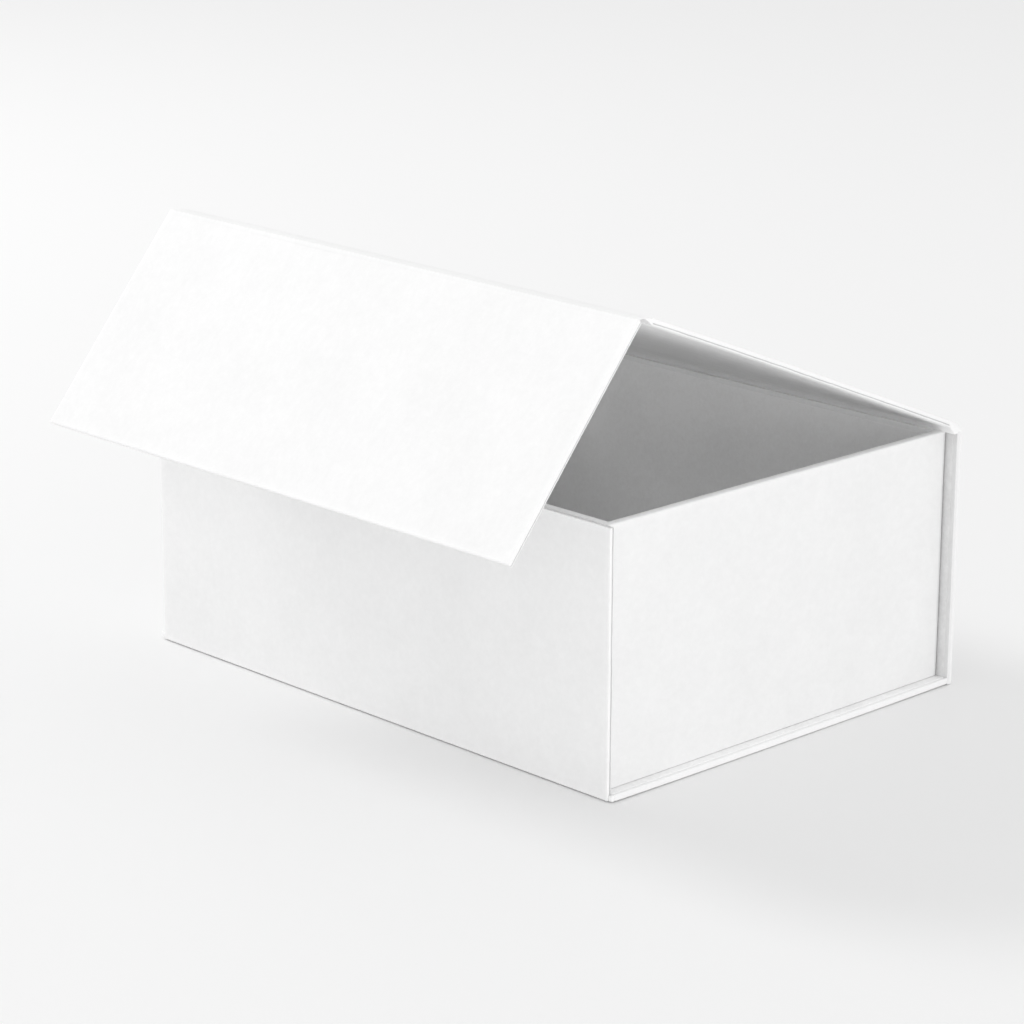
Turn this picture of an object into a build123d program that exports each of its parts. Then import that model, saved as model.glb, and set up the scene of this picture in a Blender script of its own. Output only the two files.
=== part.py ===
from build123d import *
import math
import os

# Book-style rigid gift box, millimetres.
# Frame: +Z up, X along the hinges, -Y is the front.
# Origin: centre of the underside of the case base.

# ---------------------------------------------------------------- driving sizes
case_width = 220.0          # X, along both hinges
case_depth = 163.4          # Y, front panel face to spine face
lid_depth = 166.0           # spine face to flap face with the box closed
flap_length = 85.6          # lid face to the flap's free edge
close_height = 90.4         # floor to the lid's outer face with the box closed
rim_height = 87.8           # floor to the rim of the tray

board = 2.0                 # case board: base, spine, lid, flap
panel_board = 1.5           # thinner board glued to the tray front
tray_board = 2.5            # tray walls and tray floor
wrap = 0.2                  # outer wrapping paper with its glue
lining = 0.15               # lining paper with its glue
tray_lining_t = 0.2
hinge_paper = 0.4           # wrap and lining stuck together between two boards
tape = 0.1                  # double-sided mounting tape
stay = 0.12                 # corner stay tape under the tray wrap

hinge_gap = 6.0             # lid board edge to the fold corner, both ends
hinge_land = 2.0            # spine or flap board edge to the fold corner
axis_in = 0.2               # hinge axis below the outer face
bead_gap = 0.35             # fixed paper stops this far from the hinge axis
lid_open = 22.0             # lid above level, degrees
flap_down = 50.5            # flap below level, degrees

panel_width = 216.0         # front panel, a little narrower than the case
tray_width = 210.4          # tray, inset from the case ends
tray_front_y = -79.85
tray_back_y = 79.2
tray_foot = 2.45            # underside of the tray
fold_r = 0.7                # outer radius of the paper folds under the box
tray_corner_r = 0.4

magnet_d = 10.0
magnet_t = 1.5
magnet_x = 70.0
magnet_from_edge = 14.0     # from the flap's free edge

# ---------------------------------------------------------------- derived sizes
half_w = case_width / 2
front_y = -case_depth / 2
back_y = case_depth / 2
board_w = case_width - 2 * wrap
skin_h = wrap + board + lining

case_front_inner = front_y + wrap + panel_board
spine_in = back_y - wrap - board
base_top = skin_h
magnet_z = close_height - (flap_length - magnet_from_edge)

s_l, c_l = math.sin(math.radians(lid_open)), math.cos(math.radians(lid_open))
s_f, c_f = math.sin(math.radians(flap_down)), math.cos(math.radians(flap_down))

# lid axis, then the lid section plane: x runs forward along the lid's outer face,
# y runs inward through its thickness, the normal is +X
lid_axis = Vector(0, back_y - axis_in, close_height - axis_in)
lid_u = Vector(0, -c_l, s_l)
lid_n = Vector(0, -s_l, -c_l)
lid_corner = lid_axis - lid_u * axis_in - lid_n * axis_in
lid_plane = Plane(origin=lid_corner, x_dir=lid_u, z_dir=(1, 0, 0))

flap_axis = lid_corner + lid_u * (lid_depth - axis_in) + lid_n * axis_in
flap_u = Vector(0, -c_f, -s_f)
flap_n = Vector(0, s_f, -c_f)
flap_corner = flap_axis - flap_u * axis_in - flap_n * axis_in
flap_plane = Plane(origin=flap_corner, x_dir=flap_u, z_dir=(1, 0, 0))

print("lid axis", lid_axis, "flap axis", flap_axis)

os.makedirs("parts", exist_ok=True)


# ================================================================ case: base
with BuildPart() as base_board:
    with BuildSketch(Plane.XY.offset(wrap)):
        with Locations((0, (case_front_inner + 0.1 + spine_in) / 2 - 0.05)):
            Rectangle(board_w, spine_in - case_front_inner - 0.3)
    extrude(amount=board)
base_board.part.label = "base_board"
export_step(base_board.part, "parts/base_board.step")

# wrapping paper under the base, turned up over both end edges
with BuildPart() as base_wrap:
    with BuildSketch(Plane.XY):
        Rectangle(case_width, case_depth - 2 * fold_r)
    extrude(amount=wrap)
    with BuildSketch(Plane.XY.offset(wrap)):
        with Locations((half_w - wrap / 2, -0.2), (-half_w + wrap / 2, -0.2)):
            Rectangle(wrap, spine_in - case_front_inner - 0.3)
    extrude(amount=board)
base_wrap.part.label = "base_wrap"
export_step(base_wrap.part, "parts/base_wrap.step")

with BuildPart() as base_lining:
    with BuildSketch(Plane.XY.offset(wrap + board)):
        with Locations((0, -0.2)):
            Rectangle(case_width - 1.0, spine_in - case_front_inner - 0.8)
    extrude(amount=lining)
base_lining.part.label = "base_lining"
export_step(base_lining.part, "parts/base_lining.step")

# ================================================================ case: paper folds under the box
with BuildPart() as front_fold:
    with BuildSketch(Plane.YZ):
        with BuildLine():
            a0 = (front_y, fold_r)
            a1 = (front_y + fold_r, 0)
            b1 = (front_y + fold_r, wrap)
            b0 = (front_y + wrap, fold_r)
            RadiusArc(a0, a1, -fold_r)
            Line(a1, b1)
            RadiusArc(b1, b0, fold_r - wrap)
            Line(b0, a0)
        make_face()
    extrude(amount=panel_width / 2, both=True)
front_fold.part.label = "front_fold"
export_step(front_fold.part, "parts/front_fold.step")

with BuildPart() as back_fold:
    with BuildSketch(Plane.YZ):
        with BuildLine():
            a0 = (back_y, fold_r)
            a1 = (back_y - fold_r, 0)
            b1 = (back_y - fold_r, wrap)
            b0 = (back_y - wrap, fold_r)
            RadiusArc(a0, a1, fold_r)
            Line(a1, b1)
            RadiusArc(b1, b0, -(fold_r - wrap))
            Line(b0, a0)
        make_face()
    extrude(amount=half_w, both=True)
back_fold.part.label = "back_fold"
export_step(back_fold.part, "parts/back_fold.step")

# ================================================================ case: spine
spine_bottom = fold_r
spine_top = close_height - hinge_land

with BuildPart() as spine_board:
    with BuildSketch(Plane.XY.offset(spine_bottom)):
        with Locations((0, (spine_in + back_y - wrap) / 2)):
            Rectangle(board_w, board)
    extrude(amount=spine_top - spine_bottom)
spine_board.part.label = "spine_board"
export_step(spine_board.part, "parts/spine_board.step")

with BuildPart() as spine_wrap:
    with BuildSketch(Plane.XY.offset(spine_bottom)):
        with Locations((0, back_y - wrap / 2)):
            Rectangle(case_width, wrap)
        with Locations((half_w - wrap / 2, (spine_in + back_y) / 2), (-half_w + wrap / 2, (spine_in + back_y) / 2)):
            Rectangle(wrap, board + wrap)
    extrude(amount=spine_top - spine_bottom)
spine_wrap.part.label = "spine_wrap"
export_step(spine_wrap.part, "parts/spine_wrap.step")

with BuildPart() as spine_lining:
    with BuildSketch(Plane.XY.offset(base_top)):
        with Locations((0, spine_in - lining / 2)):
            Rectangle(case_width - 1.0, lining)
    extrude(amount=spine_top - base_top)
spine_lining.part.label = "spine_lining"
export_step(spine_lining.part, "parts/spine_lining.step")

# short paper land above the spine board, up to the lid hinge
with BuildPart() as spine_hinge_strip:
    with BuildSketch(Plane.XY.offset(spine_top)):
        with Locations((0, back_y - hinge_paper / 2)):
            Rectangle(case_width, hinge_paper)
    extrude(amount=lid_axis.Z - bead_gap - spine_top)
spine_hinge_strip.part.label = "spine_hinge_strip"
export_step(spine_hinge_strip.part, "parts/spine_hinge_strip.step")

# ================================================================ case: front panel
panel_in = front_y + wrap + panel_board

with BuildPart() as front_panel_board:
    with BuildSketch(Plane.XZ.offset(-panel_in)):
        with Locations((0, (fold_r + rim_height - wrap) / 2)):
            Rectangle(panel_width - 2 * wrap, rim_height - wrap - fold_r)
        with Locations((magnet_x, magnet_z), (-magnet_x, magnet_z)):
            Circle(magnet_d / 2, mode=Mode.SUBTRACT)
    extrude(amount=panel_board)
front_panel_board.part.label = "front_panel_board"
export_step(front_panel_board.part, "parts/front_panel_board.step")

with BuildPart() as front_panel_wrap:
    with BuildSketch(Plane.XY.offset(fold_r)):
        with Locations((0, front_y + wrap / 2)):
            Rectangle(panel_width, wrap)
        with Locations((panel_width / 2 - wrap / 2, (front_y + panel_in) / 2), (-panel_width / 2 + wrap / 2, (front_y + panel_in) / 2)):
            Rectangle(wrap, panel_board + wrap)
    extrude(amount=rim_height - wrap - fold_r)
    with BuildSketch(Plane.XY.offset(rim_height - wrap)):
        with Locations((0, (front_y + panel_in) / 2)):
            Rectangle(panel_width, panel_board + wrap)
    extrude(amount=wrap)
front_panel_wrap.part.label = "front_panel_wrap"
export_step(front_panel_wrap.part, "parts/front_panel_wrap.step")

with BuildPart() as wall_magnets:
    with BuildSketch(Plane.XZ.offset(-panel_in)):
        with Locations((magnet_x, magnet_z), (-magnet_x, magnet_z)):
            Circle(magnet_d / 2)
    extrude(amount=magnet_t)
wall_magnets.part.label = "wall_magnets"
export_step(wall_magnets.part, "parts/wall_magnets.step")

# ================================================================ tray boards
tray_cy = (tray_front_y + tray_back_y) / 2
tray_len = tray_back_y - tray_front_y
skin = wrap + stay                       # wrap with the stay tape's thickness under it
bx = tray_width / 2 - skin               # outer face of the side boards
by0 = tray_front_y + skin                # outer face of the front board
by1 = tray_back_y - skin                 # outer face of the back board
board_top = rim_height - wrap
floor_top = tray_foot + tray_board

with BuildPart() as tray_front_board:
    with BuildSketch(Plane.XY.offset(tray_foot)):
        with Locations((0, by0 + tray_board / 2)):
            Rectangle(2 * bx, tray_board)
    extrude(amount=board_top - tray_foot)
tray_front_board.part.label = "tray_front_board"
export_step(tray_front_board.part, "parts/tray_front_board.step")

with BuildPart() as tray_back_board:
    with BuildSketch(Plane.XY.offset(tray_foot)):
        with Locations((0, by1 - tray_board / 2)):
            Rectangle(2 * bx, tray_board)
    extrude(amount=board_top - tray_foot)
tray_back_board.part.label = "tray_back_board"
export_step(tray_back_board.part, "parts/tray_back_board.step")

with BuildPart() as tray_left_board:
    with BuildSketch(Plane.XY.offset(tray_foot)):
        with Locations((-bx + tray_board / 2, (by0 + by1) / 2)):
            Rectangle(tray_board, by1 - by0 - 2 * tray_board)
    extrude(amount=board_top - tray_foot)
tray_left_board.part.label = "tray_left_board"
export_step(tray_left_board.part, "parts/tray_left_board.step")

with BuildPart() as tray_right_board:
    with BuildSketch(Plane.XY.offset(tray_foot)):
        with Locations((bx - tray_board / 2, (by0 + by1) / 2)):
            Rectangle(tray_board, by1 - by0 - 2 * tray_board)
    extrude(amount=board_top - tray_foot)
tray_right_board.part.label = "tray_right_board"
export_step(tray_right_board.part, "parts/tray_right_board.step")

with BuildPart() as tray_floor_board:
    with BuildSketch(Plane.XY.offset(tray_foot)):
        with Locations((0, (by0 + by1) / 2)):
            Rectangle(2 * bx - 2 * tray_board, by1 - by0 - 2 * tray_board)
    extrude(amount=tray_board)
tray_floor_board.part.label = "tray_floor_board"
export_step(tray_floor_board.part, "parts/tray_floor_board.step")

# ================================================================ tray papers
in_x = bx - tray_board                   # inner face of the side boards
in_y0 = by0 + tray_board
in_y1 = by1 - tray_board

# stay tape: an L of paper round each vertical corner, under the wrap
with BuildPart() as corner_stays:
    with BuildSketch(Plane.XY.offset(tray_foot + 1.0)):
        with Locations((bx - 6.0 + stay / 2, by0 - stay / 2), (-bx + 6.0 - stay / 2, by0 - stay / 2),
                       (bx - 6.0 + stay / 2, by1 + stay / 2), (-bx + 6.0 - stay / 2, by1 + stay / 2)):
            Rectangle(12.0 + stay, stay)
        with Locations((bx + stay / 2, by0 + 6.0 - stay / 2), (-bx - stay / 2, by0 + 6.0 - stay / 2),
                       (bx + stay / 2, by1 - 6.0 + stay / 2), (-bx - stay / 2, by1 - 6.0 + stay / 2)):
            Rectangle(stay, 12.0 + stay)
    extrude(amount=board_top - tray_foot - 2.0)
corner_stays.part.label = "corner_stays"
export_step(corner_stays.part, "parts/corner_stays.step")

# outer paper: round the four walls and over the rim
with BuildPart() as tray_wrap:
    with BuildSketch(Plane.XY.offset(tray_foot)):
        with Locations((0, tray_cy)):
            RectangleRounded(tray_width, tray_len, tray_corner_r)
            Rectangle(tray_width - 2 * wrap, tray_len - 2 * wrap, mode=Mode.SUBTRACT)
    extrude(amount=board_top - tray_foot)
    with BuildSketch(Plane.XY.offset(board_top)):
        with Locations((0, tray_cy)):
            RectangleRounded(tray_width, tray_len, tray_corner_r)
        with Locations((0, (in_y0 + in_y1) / 2)):
            Rectangle(2 * in_x, in_y1 - in_y0, mode=Mode.SUBTRACT)
    extrude(amount=wrap)
tray_wrap.part.label = "tray_wrap"
export_step(tray_wrap.part, "parts/tray_wrap.step")

# inner paper on the four walls
with BuildPart() as tray_lining:
    with BuildSketch(Plane.XY.offset(floor_top)):
        with Locations((0, (in_y0 + in_y1) / 2)):
            Rectangle(2 * in_x, in_y1 - in_y0)
            Rectangle(2 * in_x - 2 * tray_lining_t, in_y1 - in_y0 - 2 * tray_lining_t, mode=Mode.SUBTRACT)
    extrude(amount=rim_height - floor_top)
tray_lining.part.label = "tray_lining"
export_step(tray_lining.part, "parts/tray_lining.step")

with BuildPart() as tray_floor_lining:
    with BuildSketch(Plane.XY.offset(floor_top)):
        with Locations((0, (in_y0 + in_y1) / 2)):
            Rectangle(2 * in_x - 2 * tray_lining_t, in_y1 - in_y0 - 2 * tray_lining_t)
    extrude(amount=tray_lining_t)
tray_floor_lining.part.label = "tray_floor_lining"
export_step(tray_floor_lining.part, "parts/tray_floor_lining.step")

# ================================================================ mounting tapes
with BuildPart() as base_tapes:
    with BuildSketch(Plane.XY.offset(base_top)):
        with Locations((0, -60), (0, 0), (0, 60)):
            Rectangle(180, 18)
    extrude(amount=tray_foot - base_top)
base_tapes.part.label = "base_tapes"
export_step(base_tapes.part, "parts/base_tapes.step")

with BuildPart() as front_tapes:
    with BuildSketch(Plane.XZ.offset(-panel_in)):
        with Locations((0, 44), (0, 74)):
            Rectangle(190, 15)
    extrude(amount=-(tray_front_y - panel_in))
front_tapes.part.label = "front_tapes"
export_step(front_tapes.part, "parts/front_tapes.step")

with BuildPart() as back_tapes:
    with BuildSketch(Plane.XZ.offset(-tray_back_y)):
        with Locations((0, 20), (0, 66)):
            Rectangle(190, 15)
    extrude(amount=-(spine_in - lining - tray_back_y))
back_tapes.part.label = "back_tapes"
export_step(back_tapes.part, "parts/back_tapes.step")

# ================================================================ lid
lid_u0 = hinge_gap
lid_u1 = lid_depth - hinge_gap
lid_mid = (lid_u0 + lid_u1) / 2

with BuildPart() as lid_board:
    with BuildSketch(lid_plane):
        with Locations((lid_mid, wrap + board / 2)):
            Rectangle(lid_u1 - lid_u0, board)
    extrude(amount=board_w / 2, both=True)
lid_board.part.label = "lid_board"
export_step(lid_board.part, "parts/lid_board.step")


# outer paper: a shallow channel, top skin and both end edges
with BuildPart() as lid_wrap:
    with BuildSketch(Plane(origin=lid_corner + lid_u * lid_u0, x_dir=(1, 0, 0), z_dir=lid_u)):
        with Locations((0, -wrap / 2)):
            Rectangle(case_width, wrap)
        with Locations((half_w - wrap / 2, -(wrap + board) / 2), (-half_w + wrap / 2, -(wrap + board) / 2)):
            Rectangle(wrap, wrap + board)
    extrude(amount=lid_u1 - lid_u0)
lid_wrap.part.label = "lid_wrap"
export_step(lid_wrap.part, "parts/lid_wrap.step")

with BuildPart() as lid_lining:
    with BuildSketch(lid_plane):
        with Locations((lid_mid, wrap + board + lining / 2)):
            Rectangle(lid_u1 - lid_u0, lining)
    extrude(amount=half_w - 0.5, both=True)
lid_lining.part.label = "lid_lining"
export_step(lid_lining.part, "parts/lid_lining.step")

# rear paper hinge: the strip and the round crease on the hinge axis
with BuildPart() as lid_rear_hinge_strip:
    with BuildSketch(lid_plane):
        with Locations(((axis_in + lid_u0) / 2, hinge_paper / 2)):
            Rectangle(lid_u0 - axis_in, hinge_paper)
        with Locations((axis_in, axis_in)):
            Circle(hinge_paper / 2)
    extrude(amount=half_w, both=True)
lid_rear_hinge_strip.part.label = "lid_rear_hinge_strip"
export_step(lid_rear_hinge_strip.part, "parts/lid_rear_hinge_strip.step")

# front paper hinge, lid side: stops short of the ridge crease
with BuildPart() as lid_front_hinge_strip:
    with BuildSketch(lid_plane):
        with Locations(((lid_u1 + lid_depth - axis_in - bead_gap) / 2, hinge_paper / 2)):
            Rectangle(lid_depth - axis_in - bead_gap - lid_u1, hinge_paper)
    extrude(amount=half_w, both=True)
lid_front_hinge_strip.part.label = "lid_front_hinge_strip"
export_step(lid_front_hinge_strip.part, "parts/lid_front_hinge_strip.step")

# ================================================================ flap
flap_u0 = hinge_land
flap_u1 = flap_length - wrap
flap_mid = (flap_u0 + flap_u1) / 2

flap_face = Plane(origin=flap_corner + flap_n * (wrap + board), x_dir=(1, 0, 0), z_dir=flap_n)
magnet_s = flap_length - magnet_from_edge
flap_face_y = flap_face.to_local_coords(flap_corner + flap_u * magnet_s).Y

with BuildPart() as flap_board:
    with BuildSketch(flap_plane):
        with Locations((flap_mid, wrap + board / 2)):
            Rectangle(flap_u1 - flap_u0, board)
    extrude(amount=board_w / 2, both=True)
    with BuildSketch(flap_face):
        with Locations((magnet_x, flap_face_y), (-magnet_x, flap_face_y)):
            Circle(magnet_d / 2)
    extrude(amount=-magnet_t, mode=Mode.SUBTRACT)
flap_board.part.label = "flap_board"
export_step(flap_board.part, "parts/flap_board.step")

with BuildPart() as flap_magnets:
    with BuildSketch(flap_face):
        with Locations((magnet_x, flap_face_y), (-magnet_x, flap_face_y)):
            Circle(magnet_d / 2)
    extrude(amount=-magnet_t)
flap_magnets.part.label = "flap_magnets"
export_step(flap_magnets.part, "parts/flap_magnets.step")

# outer paper: channel over the face and both end edges, and the free edge
with BuildPart() as flap_wrap:
    with BuildSketch(Plane(origin=flap_corner + flap_u * flap_u0, x_dir=(1, 0, 0), z_dir=flap_u)):
        with Locations((0, -wrap / 2)):
            Rectangle(case_width, wrap)
        with Locations((half_w - wrap / 2, -(wrap + board) / 2), (-half_w + wrap / 2, -(wrap + board) / 2)):
            Rectangle(wrap, wrap + board)
    extrude(amount=flap_u1 - flap_u0)
    with BuildSketch(Plane(origin=flap_corner + flap_u * flap_u1, x_dir=(1, 0, 0), z_dir=flap_u)):
        with Locations((0, -(wrap + board) / 2)):
            Rectangle(case_width, wrap + board)
    extrude(amount=wrap)
flap_wrap.part.label = "flap_wrap"
export_step(flap_wrap.part, "parts/flap_wrap.step")

with BuildPart() as flap_lining:
    with BuildSketch(flap_plane):
        with Locations(((flap_u0 + flap_length - 0.5) / 2, wrap + board + lining / 2)):
            Rectangle(flap_length - 0.5 - flap_u0, lining)
    extrude(amount=half_w - 0.5, both=True)
flap_lining.part.label = "flap_lining"
export_step(flap_lining.part, "parts/flap_lining.step")

# ridge paper hinge, flap side: the strip and the round crease on the hinge axis
with BuildPart() as flap_hinge_strip:
    with BuildSketch(flap_plane):
        with Locations(((axis_in + flap_u0) / 2, hinge_paper / 2)):
            Rectangle(flap_u0 - axis_in, hinge_paper)
        with Locations((axis_in, axis_in)):
            Circle(hinge_paper / 2)
    extrude(amount=half_w, both=True)
flap_hinge_strip.part.label = "flap_hinge_strip"
export_step(flap_hinge_strip.part, "parts/flap_hinge_strip.step")
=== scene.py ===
import bpy
import math
import random
from mathutils import Vector, Matrix, noise


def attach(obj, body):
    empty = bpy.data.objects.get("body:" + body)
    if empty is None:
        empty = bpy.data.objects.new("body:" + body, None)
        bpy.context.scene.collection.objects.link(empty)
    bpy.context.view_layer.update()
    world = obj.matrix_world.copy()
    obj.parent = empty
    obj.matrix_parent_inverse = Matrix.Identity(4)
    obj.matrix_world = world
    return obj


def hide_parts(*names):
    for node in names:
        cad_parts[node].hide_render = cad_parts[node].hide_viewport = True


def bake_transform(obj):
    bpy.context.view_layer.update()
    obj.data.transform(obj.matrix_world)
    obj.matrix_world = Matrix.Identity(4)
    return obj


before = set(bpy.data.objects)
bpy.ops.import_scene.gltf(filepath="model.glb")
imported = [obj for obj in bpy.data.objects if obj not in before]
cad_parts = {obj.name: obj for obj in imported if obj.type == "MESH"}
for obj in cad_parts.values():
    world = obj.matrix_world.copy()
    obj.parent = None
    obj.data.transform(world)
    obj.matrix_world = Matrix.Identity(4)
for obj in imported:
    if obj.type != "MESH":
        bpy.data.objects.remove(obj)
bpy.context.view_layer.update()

MM = 0.001
random.seed(11)

# ------------------------------------------------------------------ sizes, mm (the CAD model's)
HALF = 110.0
FRONT, BACK = -81.7, 81.7
LID_LEN, FLAP_LEN = 166.0, 85.6
CLOSE_H, RIM_H = 90.4, 87.8
GAP, LAND = 6.0, 2.0
WRAP, BOARD, LINING = 0.2, 2.0, 0.15
PANEL_HALF, PANEL_IN = 108.0, -80.0
TRAY_HALF, TRAY_F, TRAY_B, TRAY_Z0 = 105.2, -79.85, 79.2, 2.45
LID_OPEN, FLAP_DOWN = math.radians(22.0), math.radians(50.5)
AXIS_IN = 0.2

# ------------------------------------------------------------------ section frames: place = O + X*x + U*s + N*v
class Fr:
    def __init__(self, O, U, N):
        self.O, self.U, self.N = Vector(O), Vector(U), Vector(N)

    def at(self, x, s, v):
        return (self.O + Vector((x, 0, 0)) + self.U * s + self.N * v) * MM


lid_axis = Vector((0, BACK - AXIS_IN, CLOSE_H - AXIS_IN))
u = Vector((0, -math.cos(LID_OPEN), math.sin(LID_OPEN)))
n = Vector((0, -math.sin(LID_OPEN), -math.cos(LID_OPEN)))
LID = Fr(lid_axis - u * AXIS_IN - n * AXIS_IN, u, n)
flap_axis = LID.O + u * (LID_LEN - AXIS_IN) + n * AXIS_IN
w = Vector((0, -math.cos(FLAP_DOWN), -math.sin(FLAP_DOWN)))
m = Vector((0, math.sin(FLAP_DOWN), -math.cos(FLAP_DOWN)))
FLAP = Fr(flap_axis - w * AXIS_IN - m * AXIS_IN, w, m)
BASE = Fr((0, 0, 0), (0, 1, 0), (0, 0, 1))
SPINE = Fr((0, BACK, 0), (0, 0, 1), (0, -1, 0))
PANEL = Fr((0, FRONT, 0), (0, 0, 1), (0, 1, 0))


# ------------------------------------------------------------------ mesh helpers
def spread(a, b, r, step, extra=(1.0, 2.5)):
    """Places along one side of a slab: close together in the rounded edges, then about step apart."""
    c = [a, a + 0.586 * r, a + r]
    for e in extra:
        if (b - a) > 4 * e and e > r * 1.2:
            c.append(a + e)
    lo = c[-1]
    hi = b - (lo - a)
    k = max(1, int(round((hi - lo) / step)))
    mid = [lo + (hi - lo) * i / k for i in range(1, k)]
    return c + mid + [a + b - t for t in reversed(c)]


def slab_data(x0, x1, s0, s1, v0, v1, r, step, warp=None, fray=0.0, seed=0.0, groove=None, shade=None,
              extra=(1.0, 2.5)):
    """A closed slab with rounded edges, as a lattice skin in (x, s, v); returns verts, faces and per-vertex wear and
    painted light (lighter towards the edges: partly wear, partly painted highlight; or the value the shade function
    gives).
    groove is (v low, v high, depth): the line round the edges where the turned-in paper ends; the groove's vertices get
    painted shade."""
    xs, ss = spread(x0, x1, r, step, extra), spread(s0, s1, r, step)
    vs = [v0, v0 + 0.586 * r, v0 + r, v1 - r, v1 - 0.586 * r, v1]
    if v1 - v0 < 2.05 * r:
        vs = [v0, (v0 + v1) / 2, v1]
    if groove:
        g0, g1, gd = groove
        vs = sorted(t for t in vs if not g0 - 0.06 < t < g1 + 0.06 or t in (v0, v1))
        vs = sorted(vs + [g0 - 0.05, g0, g1, g1 + 0.05])
    index, verts, wear_and_light_vals = {}, [], []
    nx, ns, nv = len(xs) - 1, len(ss) - 1, len(vs) - 1
    rv = min(r, (v1 - v0) / 2)

    def vert(i, j, k):
        key = (i, j, k)
        if key in index:
            return index[key]
        p = Vector((xs[i], ss[j], vs[k]))
        q = Vector((min(max(p.x, x0 + r), x1 - r), min(max(p.y, s0 + r), s1 - r), min(max(p.z, v0 + rv), v1 - rv)))
        d = p - q
        if rv < r:
            d.z *= r / rv
        if d.length > 1e-9:
            d = d.normalized() * r
        if rv < r:
            d.z *= rv / r
        o = q + d
        ex, es = min(p.x - x0, x1 - p.x), min(p.y - s0, s1 - p.y)
        if fray:
            a = noise.noise(Vector((o.x * 0.13, o.y * 0.13, seed)))
            b = noise.noise(Vector((o.x * 0.9, o.y * 0.9, seed + 5)))
            push = fray * (0.7 * a + 0.3 * b)
            if ex < 0.6:
                o.x += push
            if es < 0.6:
                o.y += push
        if groove and 0 < k < nv:
            wav = noise.noise(Vector((o.x * 0.11, o.y * 0.11, seed + 9)))
            wav += 0.6 * noise.noise(Vector((o.x * 0.5, o.y * 0.5, seed + 12)))
            dp = gd * (1 + 0.7 * wav) if g0 - 1e-6 < p.z < g1 + 1e-6 else 0.0
            if dp > 0:
                o.x = min(max(o.x, x0 + dp), x1 - dp)
                o.y = min(max(o.y, s0 + dp), s1 - dp)
            if g0 - 0.06 < p.z < g1 + 0.06:
                o.z += 0.12 * wav
        if warp:
            o.z += warp(o.x, o.y)
        index[key] = len(verts)
        verts.append(o)
        # Painted shade in the groove, darkest where it is cut deepest; other vertices take the shade function's value
        # or grow lighter towards the edges (partly wear, partly painted highlight).
        if groove and 0 < k < nv and g0 - 1e-6 < p.z < g1 + 1e-6:
            wear_and_light_vals.append(-3.0 if dp > 0.6 * gd else -1.0)
        else:
            wear_and_light_vals.append(shade(p.x, p.y, p.z) if shade else math.exp(-min(ex, es) / 0.8))
        return index[key]

    faces = []
    for i in range(nx):
        for j in range(ns):
            faces.append((vert(i, j, 0), vert(i, j + 1, 0), vert(i + 1, j + 1, 0), vert(i + 1, j, 0)))
            faces.append((vert(i, j, nv), vert(i + 1, j, nv), vert(i + 1, j + 1, nv), vert(i, j + 1, nv)))
    for i in range(nx):
        for k in range(nv):
            faces.append((vert(i, 0, k), vert(i + 1, 0, k), vert(i + 1, 0, k + 1), vert(i, 0, k + 1)))
            faces.append((vert(i, ns, k), vert(i, ns, k + 1), vert(i + 1, ns, k + 1), vert(i + 1, ns, k)))
    for j in range(ns):
        for k in range(nv):
            faces.append((vert(0, j, k), vert(0, j, k + 1), vert(0, j + 1, k + 1), vert(0, j + 1, k)))
            faces.append((vert(nx, j, k), vert(nx, j + 1, k), vert(nx, j + 1, k + 1), vert(nx, j, k + 1)))
    return verts, faces, wear_and_light_vals


def make(name, verts, faces, wear_and_light_vals, mat, smooth_angle=40):
    me = bpy.data.meshes.new(name)
    me.from_pydata([tuple(p) for p in verts], [], faces)
    me.validate()
    me.update()
    # per-vertex wear and painted light, read by the paper material: lighter towards edges and rims, painted shade in
    # grooves and gaps
    att = me.attributes.new("wear_and_painted_light", "FLOAT", "POINT")
    att.data.foreach_set("value", wear_and_light_vals)
    me.materials.append(mat)
    ob = bpy.data.objects.new(name, me)
    bpy.context.scene.collection.objects.link(ob)
    import bmesh
    bm = bmesh.new()
    bm.from_mesh(me)
    bmesh.ops.recalc_face_normals(bm, faces=bm.faces)
    for f in bm.faces:
        f.smooth = True
    for e in bm.edges:
        if len(e.link_faces) == 2 and e.calc_face_angle(0) > math.radians(smooth_angle):
            e.smooth = False
    bm.to_mesh(me)
    bm.free()
    return ob


def slab(name, fr, boxes, mat, r=0.4, step=5.0, warp=None, fray=0.0, seed=0.0, groove=None, shade=None, extra=(1.0, 2.5)):
    verts, faces, wear_and_light_vals = [], [], []
    for b in boxes:
        v, f, e = slab_data(*b, r=r, step=step, warp=warp, fray=fray, seed=seed, groove=groove, shade=shade, extra=extra)
        k = len(verts)
        verts += [fr.at(p.x, p.y, p.z) for p in v]
        faces += [tuple(i + k for i in q) for q in f]
        wear_and_light_vals += e
    return make(name, verts, faces, wear_and_light_vals, mat)


# ------------------------------------------------------------------ materials
def nodes_of(name):
    mat = bpy.data.materials.new(name)
    mat.use_nodes = True
    nt = mat.node_tree
    return mat, nt, nt.nodes["Principled BSDF"]


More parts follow.
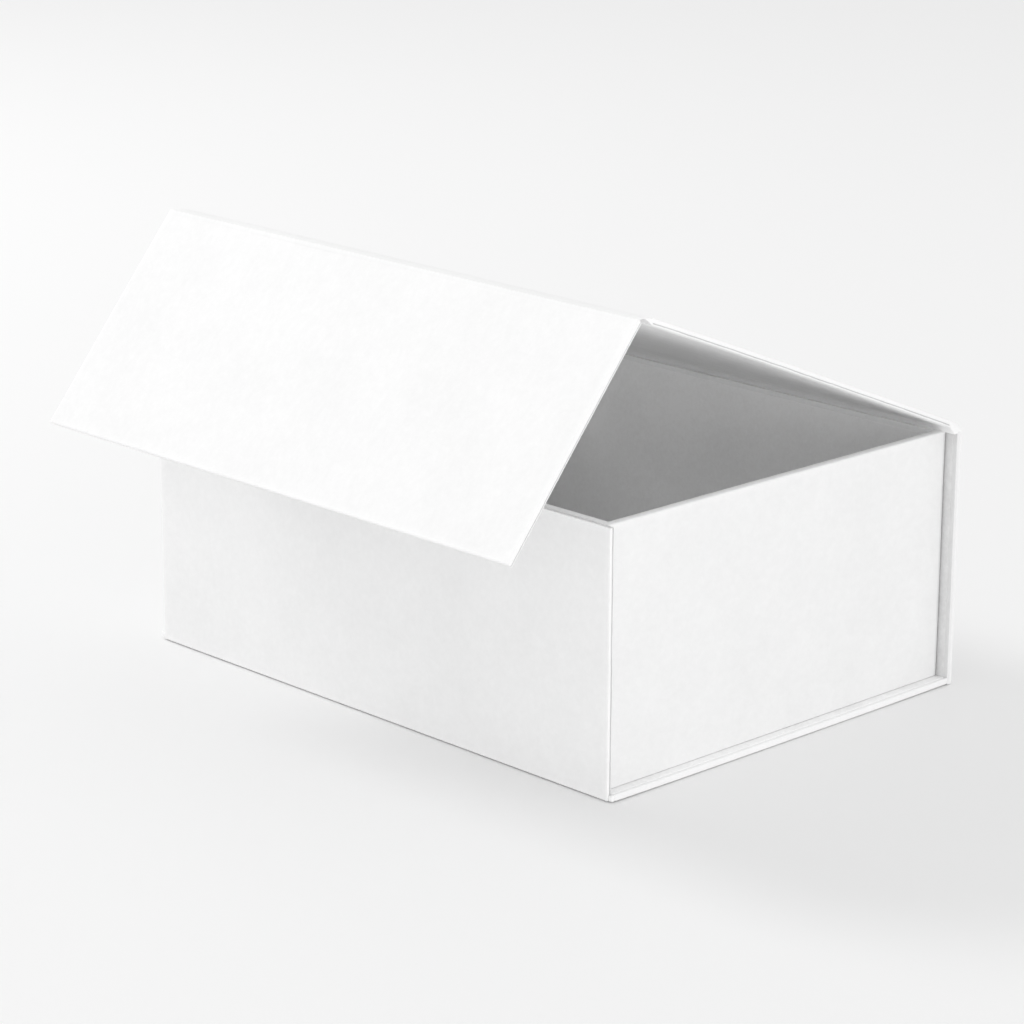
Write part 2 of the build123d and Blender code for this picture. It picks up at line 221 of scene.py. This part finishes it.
def paper(name, tint, mottle=0.012, cloud=0.01, bump=0.05, rough=0.62, wear_and_light_gain=0.015, spec=0.35, fibre=0.01):
    mat, nt, bsdf = nodes_of(name)
    N, L = nt.nodes, nt.links
    tc = N.new("ShaderNodeTexCoord")

    def tex(scale, detail, roughness=0.55, stretch=(1, 1, 1), rot=(0, 0, 0)):
        mp = N.new("ShaderNodeMapping")
        mp.inputs["Scale"].default_value = stretch
        mp.inputs["Rotation"].default_value = rot
        L.new(tc.outputs["Object"], mp.inputs["Vector"])
        t = N.new("ShaderNodeTexNoise")
        t.inputs["Scale"].default_value = scale
        t.inputs["Detail"].default_value = detail
        t.inputs["Roughness"].default_value = roughness
        L.new(mp.outputs["Vector"], t.inputs["Vector"])
        return t.outputs["Fac"]

    def ranged(src, lo, hi, a=0.3, b=0.7):
        mr = N.new("ShaderNodeMapRange")
        mr.inputs["From Min"].default_value = a
        mr.inputs["From Max"].default_value = b
        mr.inputs["To Min"].default_value = lo
        mr.inputs["To Max"].default_value = hi
        L.new(src, mr.inputs["Value"])
        return mr.outputs["Result"]

    def math_(op, a, b):
        q = N.new("ShaderNodeMath")
        q.operation = op
        for k, v in enumerate((a, b)):
            if isinstance(v, (int, float)):
                q.inputs[k].default_value = v
            else:
                L.new(v, q.inputs[k])
        return q.outputs[0]

    grain = tex(900, 5, 0.65)
    clouds = tex(38, 3)
    fib = tex(260, 4, 0.6, rot=(0.3, 0.5, 0.4))
    fib2 = tex(420, 3, 0.6, stretch=(1.3, 0.8, 1.0), rot=(0.9, -0.4, 1.1))
    g = ranged(grain, -mottle, mottle)
    c = ranged(clouds, -cloud, cloud)
    f = ranged(math_("MULTIPLY", fib, fib2), -fibre, fibre, 0.12, 0.4)
    # Per-vertex wear and painted light: lightens the base colour towards edges and rims (partly wear, partly painted
    # highlight) and darkens it in grooves, gaps and beside the tray walls (painted shade).
    at = N.new("ShaderNodeAttribute")
    at.attribute_name = "wear_and_painted_light"
    e = math_("MULTIPLY", at.outputs["Fac"], wear_and_light_gain)
    total = math_("ADD", math_("ADD", g, c), math_("ADD", f, e))
    hsv = N.new("ShaderNodeHueSaturation")
    hsv.inputs["Color"].default_value = (*tint, 1)
    L.new(math_("ADD", total, 1.0), hsv.inputs["Value"])
    L.new(hsv.outputs["Color"], bsdf.inputs["Base Color"])
    L.new(ranged(grain, rough - 0.05, rough + 0.07), bsdf.inputs["Roughness"])
    bsdf.inputs["Specular IOR Level"].default_value = spec
    h = math_("ADD", math_("MULTIPLY", grain, 0.6), math_("MULTIPLY", fib, 0.25))
    h = math_("ADD", h, math_("MULTIPLY", fib2, 0.25))
    bp = N.new("ShaderNodeBump")
    bp.inputs["Strength"].default_value = bump * 6
    bp.inputs["Distance"].default_value = 0.00006
    L.new(h, bp.inputs["Height"])
    L.new(bp.outputs["Normal"], bsdf.inputs["Normal"])
    return mat


def board_material():
    mat, nt, bsdf = nodes_of("grey_board")
    N, L = nt.nodes, nt.links
    tc = N.new("ShaderNodeTexCoord")
    t = N.new("ShaderNodeTexNoise")
    t.inputs["Scale"].default_value = 700
    t.inputs["Detail"].default_value = 6
    L.new(tc.outputs["Object"], t.inputs["Vector"])
    v = N.new("ShaderNodeTexVoronoi")
    v.inputs["Scale"].default_value = 420
    L.new(tc.outputs["Object"], v.inputs["Vector"])
    cr = N.new("ShaderNodeValToRGB")
    cr.color_ramp.elements[0].color = (0.24, 0.225, 0.2, 1)
    cr.color_ramp.elements[1].color = (0.44, 0.42, 0.38, 1)
    cr.color_ramp.elements[0].position = 0.35
    cr.color_ramp.elements[1].position = 0.65
    mx = N.new("ShaderNodeMix")
    mx.data_type = "FLOAT"
    mx.inputs[0].default_value = 0.25
    L.new(t.outputs["Fac"], mx.inputs[2])
    L.new(v.outputs["Distance"], mx.inputs[3])
    L.new(mx.outputs[0], cr.inputs["Fac"])
    L.new(cr.outputs["Color"], bsdf.inputs["Base Color"])
    bsdf.inputs["Roughness"].default_value = 0.9
    bp = N.new("ShaderNodeBump")
    bp.inputs["Strength"].default_value = 0.4
    bp.inputs["Distance"].default_value = 0.0002
    L.new(t.outputs["Fac"], bp.inputs["Height"])
    L.new(bp.outputs["Normal"], bsdf.inputs["Normal"])
    return mat


def metal_material():
    mat, nt, bsdf = nodes_of("nickel_plate")
    N, L = nt.nodes, nt.links
    tc = N.new("ShaderNodeTexCoord")
    t = N.new("ShaderNodeTexNoise")
    t.inputs["Scale"].default_value = 900
    t.inputs["Detail"].default_value = 4
    L.new(tc.outputs["Object"], t.inputs["Vector"])
    mr = N.new("ShaderNodeMapRange")
    mr.inputs["To Min"].default_value = 0.18
    mr.inputs["To Max"].default_value = 0.38
    L.new(t.outputs["Fac"], mr.inputs["Value"])
    L.new(mr.outputs["Result"], bsdf.inputs["Roughness"])
    bsdf.inputs["Base Color"].default_value = (0.62, 0.61, 0.58, 1)
    bsdf.inputs["Metallic"].default_value = 1.0
    return mat


M_WRAP = paper("wrap_paper_white", (0.92, 0.92, 0.92), wear_and_light_gain=0.07, cloud=0.014, mottle=0.012, fibre=0.014)
# The lining's tint is lighter than the wrap's: partly the lining paper's own white, partly raised so the shaded inside
# of the box reads brighter (painted light).
M_LINE = paper("lining_paper_white", (0.975, 0.975, 0.975), mottle=0.03, cloud=0.03, fibre=0.03, rough=0.7, wear_and_light_gain=0.05)
M_TAPE = paper("tape_paper", (0.66, 0.6, 0.5), mottle=0.03, bump=0.1, rough=0.55)
M_BOARD = board_material()
M_METAL = metal_material()


# ------------------------------------------------------------------ slight unevenness of wrapped board
def lid_warp(x, s):
    t = (s - LID_LEN / 2) / (LID_LEN / 2)
    bow = -0.45 * (1 - t * t)
    return bow * 0.8 + 0.12 * noise.noise(Vector((x * 0.012, s * 0.014, 3.1)))


def flap_warp(x, s):
    t = (s - FLAP_LEN / 2) / (FLAP_LEN / 2)
    e = max(0.0, 1 - abs(t))
    return 0.10 * noise.noise(Vector((x * 0.011, s * 0.02, 8.3))) - 0.12 * e * (x / HALF) ** 2


def base_warp(x, s):
    k = min(1.0, max(0.0, (abs(x) - 105.6) / 4.4))
    lift = 0.22 + 0.33 * (abs(s) / 80.0) ** 3
    return k * k * lift


def panel_warp(x, s):
    return -0.12 * (s / RIM_H) ** 2 * (abs(x) / PANEL_HALF) ** 2


# ------------------------------------------------------------------ case panels
# Painted shade: darkens the spine's inner face beside the tray's side wall, darkest at the junction; the spine's end
# face gets a painted highlight.
def spine_shade(x, z, v):
    if v > 1.8 and abs(x) > TRAY_HALF - 1.5:
        return -2.7 - 2.2 * math.exp(-max(0.0, abs(x) - TRAY_HALF) / 1.4) if abs(x) < HALF - 0.3 else -0.6
    return 1.0 if abs(x) > HALF - 0.5 else 0.0


# Painted shade: darkens the spine lining beside the tray's side wall, darkest at the junction.
def spine_lining_shade(x, z, v):
    if abs(x) > TRAY_HALF - 1.5:
        return -4.2 - 3.2 * math.exp(-max(0.0, abs(x) - TRAY_HALF) / 1.3)
    return 0.0


IN = 0.05
wrap_base = slab("wrap_base", BASE, [(-HALF, HALF, PANEL_IN - 0.02, 79.52, 0.0, 2.2),
                                     (PANEL_HALF + 0.1, HALF, -81.5, -80.0, 0.05, 2.1),
                                     (-HALF, -PANEL_HALF - 0.1, -81.5, -80.0, 0.05, 2.1)],
                 M_WRAP, r=0.5, warp=base_warp)
lining_base = slab("lining_base", BASE, [(-HALF + 1.6, HALF - 1.6, -79.7, 79.4, 2.17, 2.36)], M_LINE, r=0.06, step=2.0, warp=base_warp, fray=0.25, seed=2)
wrap_spine = slab("wrap_spine", SPINE, [(-HALF, HALF, 0.1, CLOSE_H - LAND, IN, 2.2)], M_WRAP, r=0.38, shade=spine_shade,
                  extra=(1.0, 2.0, 3.0, 4.0, 4.5, 5.2, 6.0))
lining_spine = slab("lining_spine", SPINE, [(-HALF + 1.8, HALF - 1.8, 2.3, CLOSE_H - LAND - 0.1, 2.17, 2.35)], M_LINE, r=0.06, step=2.0, fray=0.2, seed=4,
                    shade=spine_lining_shade, extra=(0.8, 1.6, 2.4, 3.0, 3.6, 4.4))
wrap_panel = slab("wrap_front_panel", PANEL, [(-PANEL_HALF, PANEL_HALF, 0.35, RIM_H, 0.0, 1.7)], M_WRAP, r=0.24, step=2.5, warp=panel_warp,
                  groove=(0.85, 1.35, 0.5), seed=3)
wrap_lid = slab("wrap_lid", LID, [(-HALF, HALF, GAP, LID_LEN - GAP, IN, 2.25)], M_WRAP, r=0.36, step=2.5, warp=lid_warp,
                groove=(1.42, 1.72, 0.32), seed=5)
lining_lid = slab("lining_lid", LID, [(-HALF + 2.2, HALF - 2.2, GAP + 0.2, LID_LEN - GAP - 0.2, 2.17, 2.35)], M_LINE, r=0.06, step=2.0, warp=lid_warp, fray=0.3, seed=6)
wrap_flap = slab("wrap_flap", FLAP, [(-HALF, HALF, LAND, FLAP_LEN, IN, 2.25)], M_WRAP, r=0.36, step=2.5, warp=flap_warp,
                 groove=(1.42, 1.72, 0.32), seed=7)
lining_flap = slab("lining_flap", FLAP, [(-HALF + 2.2, HALF - 2.2, LAND + 0.2, FLAP_LEN - 2.4, 2.17, 2.35)], M_LINE, r=0.06, step=2.0, warp=flap_warp, fray=0.3, seed=8)
board_base = slab("board_base", BASE, [(-109.5, 109.5, PANEL_IN + 0.35, 79.1, 0.35, 2.05)], M_BOARD, r=0.15, warp=base_warp, step=12)
board_spine = slab("board_spine", SPINE, [(-109.5, 109.5, 0.4, CLOSE_H - LAND - 0.35, 0.35, 2.05)], M_BOARD, r=0.15, step=12)
board_lid = slab("board_lid", LID, [(-109.2, 109.2, GAP + 0.8, LID_LEN - GAP - 0.8, 0.35, 2.05)], M_BOARD, r=0.15, warp=lid_warp, step=12)
board_flap = slab("board_flap", FLAP, [(-109.2, 109.2, LAND + 0.8, FLAP_LEN - 0.8, 0.35, 2.05)], M_BOARD, r=0.15, warp=flap_warp, step=12)
board_panel = slab("board_front_panel", PANEL, [(-107.1, 107.1, 0.9, RIM_H - 0.9, 0.25, 1.5)], M_BOARD, r=0.15, warp=panel_warp, step=12)


# ------------------------------------------------------------------ paper hinges
def curve_points(corner, a_dir, a_len, b_dir, b_len, sag, a_over, b_over):
    """The outer line of a paper hinge in the section plane: along a, round the corner, along b."""
    A = corner + a_dir * a_len
    B = corner + b_dir * b_len
    pts = [A + a_dir * a_over * (1 - i / 3) for i in range(3)] + [A]
    k = 14
    for i in range(1, k):
        t = i / k
        C = corner + (((A + B) / 2) - corner) * sag
        p = A * (1 - t) ** 2 + C * 2 * t * (1 - t) + B * t ** 2
        pts.append(p)
    pts += [B] + [B + b_dir * b_over * (i / 3) for i in range(1, 4)]
    return pts


def bead(name, outer, a_hide, a_in, b_in, b_hide, mat, x_free, bulge, seed):
    """The bending strip between two boards: paper outside, lining paper inside, one closed body from end to end."""
    cnt = len(outer)
    inner = []
    for i in range(cnt):
        if i < 3:
            inner.append(a_hide)
        elif i > cnt - 4:
            inner.append(b_hide)
        else:
            t = (i - 3) / (cnt - 7)
            inner.append(a_in + (b_in - a_in) * t + bulge * math.sin(math.pi * t) ** 0.7)
    ring = [(p, i, 0) for i, p in enumerate(outer)] + [(inner[i], i, 1) for i in reversed(range(cnt))]
    xs = spread(-x_free, x_free, 0.2, 1.6, extra=(0.8,))
    verts, wear_and_light_vals, faces = [], [], []
    for x in xs:
        ex = x_free - abs(x)
        for p, i, side in ring:
            other = inner[i] if side == 0 else outer[i]
            q = (other - p).normalized()
            free = min(1.0, max(0.0, min(i - 3, cnt - 4 - i) / 2.0))
            crease = 0.12 * math.exp(-((min(i - 3, cnt - 4 - i) - 1.0) / 0.9) ** 2) if side == 0 else 0.0
            wob = 0.05 * (1 + noise.noise(Vector((x * 0.05, i * 0.2, seed)))) + 0.05 * (1 + noise.noise(Vector((x * 0.35, i * 0.5, seed + 3))))
            shrink = 0.0 if ex > 0.2 else 0.25 * (1 - math.sqrt(max(0.0, 1 - (1 - ex / 0.2) ** 2)))
            verts.append((p + q * (free * (wob + shrink) + crease) + Vector((x, 0, 0))) * MM)
            # lighter towards the strip's ends: partly wear, partly painted highlight
            wear_and_light_vals.append(math.exp(-ex / 0.8))
    R = len(ring)
    for a in range(len(xs) - 1):
        for b in range(R):
            c = (b + 1) % R
            faces.append((a * R + b, a * R + c, (a + 1) * R + c, (a + 1) * R + b))
    for a, flip in ((0, False), (len(xs) - 1, True)):
        h = R // 2
        for b in range(h - 1):
            q = (a * R + b, a * R + b + 1, a * R + R - 2 - b, a * R + R - 1 - b)
            if b < 2 or b > h - 4:
                tri = (q[0], q[1], q[2])
                q = tri
            faces.append(q if not flip else tuple(reversed(q)))
    return make(name, verts, faces, wear_and_light_vals, mat, 35)


def P2(fr, s_, v_):
    return fr.O + fr.U * s_ + fr.N * v_


rear = curve_points(LID.O, Vector((0, 0, -1)), LAND, LID.U, GAP, 0.10, 1.6, 1.6)
hinge_lid = bead("hinge_paper_lid", rear, P2(SPINE, CLOSE_H - LAND - 0.5, 1.1), P2(SPINE, RIM_H - 0.02, 4.0),
                 P2(LID, GAP + 0.3, 2.16), P2(LID, GAP + 0.6, 1.1), M_WRAP, HALF - 0.12, Vector((0, 0.1, 0.25)), 1.0)
ridge = curve_points(FLAP.O, -LID.U, GAP, FLAP.U, LAND, 0.72, 1.6, 1.6)
mid = (P2(LID, LID_LEN - GAP - 0.3, 2.16) + P2(FLAP, LAND + 0.3, 2.16)) / 2
gutter = (FLAP.O - mid) * (1 - 2.2 / (FLAP.O - mid).length)      # pulls the middle of the strip's inside towards the ridge corner, to 2.2 mm short of it
hinge_flap = bead("hinge_paper_flap", ridge, P2(LID, LID_LEN - GAP - 0.6, 1.1), P2(LID, LID_LEN - GAP - 0.3, 2.16),
                  P2(FLAP, LAND + 0.3, 2.16), P2(FLAP, LAND + 0.6, 1.1), M_WRAP, HALF - 0.3, gutter, 5.0)


# ------------------------------------------------------------------ tray papers
def ring_body(name, hx, y0, y1, rc, section, depth_full, inner, mat, out=None, ragged=0.0, back_wall_painted_shade=0.0):
    """A closed section swept round the four walls. Section points are (depth inwards, z); corners are mitred."""
    ix, iy0, iy1 = inner
    path = []
    corners = [((hx - rc, y0 + rc), -90, (ix, iy0)), ((hx - rc, y1 - rc), 0, (ix, iy1)),
               ((-hx + rc, y1 - rc), 90, (-ix, iy1)), ((-hx + rc, y0 + rc), 180, (-ix, iy0))]
    k = 6
    for c in range(4):
        (cx, cy), a0, icorner = corners[c]
        for i in range(k + 1):
            a = math.radians(a0 + 90 * i / k)
            path.append((cx + rc * math.cos(a), cy + rc * math.sin(a), icorner[0], icorner[1], math.cos(a), math.sin(a)))
        (nxc, nyc), na0, nic = corners[(c + 1) % 4]
        a = math.radians(a0 + 90)
        p = (cx + rc * math.cos(a), cy + rc * math.sin(a))
        q = (nxc + rc * math.cos(math.radians(na0)), nyc + rc * math.sin(math.radians(na0)))
        dist = math.hypot(q[0] - p[0], q[1] - p[1])
        marks = [1.0] + [1.25 * j for j in range(2, int((dist - 2.5) / 1.25))]
        marks = [t for t in marks if t < dist - 2.6] + [dist - 2.5, dist - 1.0]
        for t in marks:
            f = t / dist
            path.append((p[0] + (q[0] - p[0]) * f, p[1] + (q[1] - p[1]) * f,
                         icorner[0] + (nic[0] - icorner[0]) * f, icorner[1] + (nic[1] - icorner[1]) * f,
                         math.cos(a), math.sin(a)))
    verts, wear_and_light_vals, faces = [], [], []
    S = len(section)
    for (ox, oy, jx, jy, nx_, ny_) in path:
        for d, z, tag in section:
            f = d / depth_full
            x, y = ox + (jx - ox) * f, oy + (jy - oy) * f
            if out:
                o = out(x, y, z, tag, nx_, ny_)
                x += nx_ * o
                y += ny_ * o
            zt = max(s[1] for s in section)
            if ragged and z > zt - 0.5:
                z -= ragged * (1 + 0.7 * noise.noise(Vector((x * 0.12, y * 0.12, 2.0))) + 0.6 * noise.noise(Vector((x * 0.55, y * 0.55, 5.0))))
            verts.append(Vector((x, y, z)) * MM)
            # Painted shade: a fixed dark value on the outer face of the back wall and back corners, when given;
            # elsewhere lighter towards the rim's top and the corners (partly wear, partly painted highlight).
            cd = min(math.hypot(abs(ox) - hx, oy - y0), math.hypot(abs(ox) - hx, oy - y1))
            if back_wall_painted_shade and tag == 1 and oy > y1 - 0.6 and z < zt - 0.6:
                wear_and_light_vals.append(back_wall_painted_shade)
            else:
                wear_and_light_vals.append(math.exp(-min(zt - z, cd) / 0.8))
    P = len(path)
    for a in range(P):
        b = (a + 1) % P
        for i in range(S):
            j = (i + 1) % S
            faces.append((a * S + i, b * S + i, b * S + j, a * S + j))
    return make(name, verts, faces, wear_and_light_vals, mat, 40)


def rim_section(d0, d1, z0, z1, r, r_in=None, rows=10):
    r_in = r if r_in is None else r_in
    pts = [(d0 + 0.3, z0, 0), (d0 + 0.1, z0 + 0.08, 1), (d0, z0 + 0.35, 1)]
    for i in range(1, rows):
        pts.append((d0, z0 + 0.35 + (z1 - 2.5 - z0 - 0.35) * i / rows, 1))
    pts += [(d0, z1 - 2.5, 1), (d0, z1 - 1.0, 1)]
    for i in range(5):
        a = math.radians(90 * i / 4)
        pts.append((d0 + r - r * math.cos(a), z1 - r + r * math.sin(a), 1))
    for i in range(5):
        a = math.radians(90 - 90 * i / 4)
        pts.append((d1 - r_in + r_in * math.cos(a), z1 - r_in + r_in * math.sin(a), 2))
    pts += [(d1, z1 - 1.0, 2), (d1, z1 - 2.5, 2)]
    for i in range(1, rows):
        pts.append((d1, z1 - 2.5 - (z1 - 2.5 - z0) * i / rows, 2))
    pts += [(d1, z0, 2)]
    return pts


def tray_out(x, y, z, tag, nx_, ny_):
    if tag != 1:
        top = max(0.0, 1 - (RIM_H - z) / 3.0)
        return top * (0.06 * noise.noise(Vector((x * 0.16, y * 0.16, 4.0))) + 0.05 * noise.noise(Vector((x * 0.6, y * 0.6, 7.0))))
    o = 0.07 * noise.noise(Vector((x * 0.02, y * 0.02, z * 0.025)))
    # the lap of the wrapping paper, on the left wall near the back corner
    if nx_ < -0.7 and y > 62.0:
        o += 0.1
    return o - 0.04


D_IN = 2.88
# The back wall's outer face, which faces the spine, gets a fixed painted shade for the gap between them.
tray_paper = ring_body("tray_paper_outer", TRAY_HALF, TRAY_F, TRAY_B, 0.45,
                       rim_section(0.0, D_IN, TRAY_Z0, RIM_H, 0.55, 0.2), D_IN,
                       (TRAY_HALF - D_IN, TRAY_F + D_IN, TRAY_B - D_IN), M_WRAP, tray_out, ragged=0.055, back_wall_painted_shade=-3.0)
tray_walls = ring_body("tray_paper_walls", TRAY_HALF - D_IN + 0.1, TRAY_F + D_IN - 0.1, TRAY_B - D_IN + 0.1, 0.12,
                       rim_section(0.0, 0.26, TRAY_Z0 + 2.6, RIM_H - 1.5, 0.08), 0.26,
                       (TRAY_HALF - D_IN - 0.16, TRAY_F + D_IN + 0.16, TRAY_B - D_IN - 0.16), M_LINE, ragged=0.2)
tray_floor = slab("tray_paper_floor", BASE, [(-TRAY_HALF + 3.2, TRAY_HALF - 3.2, TRAY_F + 3.2, TRAY_B - 3.2, 4.9, 5.2)],
                  M_LINE, r=0.1, fray=0.2, seed=12)


# ------------------------------------------------------------------ closure magnets inside the flap
def disc(name, fr, x, s, v0, v1, rad, mat):
    verts, wear_and_light_vals, faces = [], [], []
    k = 48
    prof = [(rad - 0.25, v0), (rad - 0.07, v0 + 0.07), (rad, v0 + 0.25), (rad, v1 - 0.25), (rad - 0.07, v1 - 0.07), (rad - 0.25, v1)]
    for i in range(k):
        a = 2 * math.pi * i / k
        for r_, v in prof:
            verts.append(fr.at(x + r_ * math.cos(a), s + r_ * math.sin(a), v))
    P = len(prof)
    for i in range(k):
        j = (i + 1) % k
        for b in range(P - 1):
            faces.append((i * P + b, j * P + b, j * P + b + 1, i * P + b + 1))
    faces.append(tuple(i * P for i in range(k)))
    faces.append(tuple(i * P + P - 1 for i in reversed(range(k))))
    wear_and_light_vals = [0.0] * len(verts)
    return make(name, verts, faces, wear_and_light_vals, mat, 30)


mags = [disc("magnet_flap_" + t, FLAP, x, FLAP_LEN - 14.0, 0.62, 2.05, 5.0, M_METAL) for t, x in (("right", 70.0), ("left", -70.0))]
wall_mags = [disc("magnet_wall_" + t, PANEL, x, CLOSE_H - (FLAP_LEN - 14.0), 0.4, 1.4, 5.0, M_METAL) for t, x in (("right", 70.0), ("left", -70.0))]

# ------------------------------------------------------------------ who rides on what, and which CAD nodes they stand for
for ob, body, slot, nodes_ in (
    (wrap_base, "box", "wrap_paper", ("base_wrap", "front_fold", "back_fold")),
    (lining_base, "box", "lining_paper", ("base_lining",)),
    (wrap_spine, "box", "wrap_paper", ("spine_wrap",)),
    (lining_spine, "box", "lining_paper", ("spine_lining",)),
    (wrap_panel, "box", "wrap_paper", ("front_panel_wrap",)),
    (tray_paper, "box", "wrap_paper", ("tray_wrap",)),
    (tray_walls, "box", "lining_paper", ("tray_lining",)),
    (tray_floor, "box", "lining_paper", ("tray_floor_lining",)),
    (wrap_lid, "lid", "wrap_paper", ("lid_wrap",)),
    (lining_lid, "lid", "lining_paper", ("lid_lining",)),
    (board_base, "box", "greyboard", ("base_board",)),
    (board_spine, "box", "greyboard", ("spine_board",)),
    (board_lid, "lid", "greyboard", ("lid_board",)),
    (wrap_flap, "flap", "wrap_paper", ("flap_wrap",)),
    (lining_flap, "flap", "lining_paper", ("flap_lining",)),
    (board_flap, "flap", "greyboard", ("flap_board",)),
    (board_panel, "box", "greyboard", ("front_panel_board",)),
    (mags[0], "flap", "magnet_metal", ("flap_magnets",)),
    (wall_mags[0], "box", "magnet_metal", ("wall_magnets",)),
):
    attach(ob, body)
    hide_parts(*nodes_)
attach(mags[1], "flap")
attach(wall_mags[1], "box")

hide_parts("lid_rear_hinge_strip", "spine_hinge_strip")
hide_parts("lid_front_hinge_strip", "flap_hinge_strip")
for vert in hinge_lid.data.vertices:
    vert.co.y = min(vert.co.y, 0.0817)
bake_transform(hinge_lid)
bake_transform(hinge_flap)

# ------------------------------------------------------------------ hidden CAD pieces that stay
for name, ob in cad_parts.items():
    obs = ob if isinstance(ob, (list, tuple)) else [ob]
    for o in obs:
        if not hasattr(o, "material_slots"):
            continue
        if name.endswith("_board"):
            mt = M_BOARD
        elif "magnets" in name:
            mt = M_METAL
        elif "tapes" in name or "stays" in name:
            mt = M_TAPE
        elif "lining" in name:
            mt = M_LINE
        else:
            mt = M_WRAP
        for sl in o.material_slots:
            sl.material = mt

# ------------------------------------------------------------------ stage
def floor_material():
    mat, nt, bsdf = nodes_of("pale_floor")
    bsdf.inputs["Base Color"].default_value = (0.92, 0.92, 0.92, 1)
    bsdf.inputs["Roughness"].default_value = 0.55
    bsdf.inputs["Specular IOR Level"].default_value = 0.3
    return mat


bpy.ops.mesh.primitive_plane_add(size=12, location=(0, 0, -0.00005))
floor = bpy.context.object
floor.name = "floor"
floor.data.materials.append(floor_material())

world = bpy.data.worlds.new("soft_world")
bpy.context.scene.world = world
world.use_nodes = True
bg = world.node_tree.nodes["Background"]
bg.inputs["Color"].default_value = (1, 1, 1, 1)
bg.inputs["Strength"].default_value = 0.835


def area(name, loc, target, size, energy, size_y=None):
    li = bpy.data.lights.new(name, "AREA")
    li.energy = energy
    li.shape = "RECTANGLE"
    li.size = size
    li.size_y = size_y or size
    ob = bpy.data.objects.new(name, li)
    bpy.context.scene.collection.objects.link(ob)
    ob.location = loc
    ob.rotation_euler = (Vector(target) - Vector(loc)).to_track_quat("-Z", "Y").to_euler()
    return ob


area("key", (-1.5, -0.42, 1.27), (0, 0, 0.05), 0.6, 9.7)
area("fill", (1.6, -0.85, 0.25), (0, 0, 0.07), 1.3, 5.5, 0.45)

# ------------------------------------------------------------------ camera
cam_data = bpy.data.cameras.new("camera")
cam = bpy.data.objects.new("camera", cam_data)
bpy.context.scene.collection.objects.link(cam)
cam_data.sensor_width = 36.0
cam_data.lens = 3561.68 / 1024 * 36.0
cam_data.clip_end = 50
yaw, pitch, roll = math.radians(-45.8705), math.radians(16.4622), math.radians(0.3002)
d = Vector((math.sin(yaw) * math.cos(pitch), math.cos(yaw) * math.cos(pitch), -math.sin(pitch)))
right = Vector((math.cos(yaw), -math.sin(yaw), 0))
up = right.cross(d)
r2 = right * math.cos(roll) + up * math.sin(roll)
u2 = -right * math.sin(roll) + up * math.cos(roll)
cam.matrix_world = Matrix(((r2.x, u2.x, -d.x, 0.82067), (r2.y, u2.y, -d.y, -0.81432), (r2.z, u2.z, -d.z, 0.39465), (0, 0, 0, 1)))
bpy.context.scene.camera = cam

sc = bpy.context.scene
sc.view_settings.view_transform = "Standard"
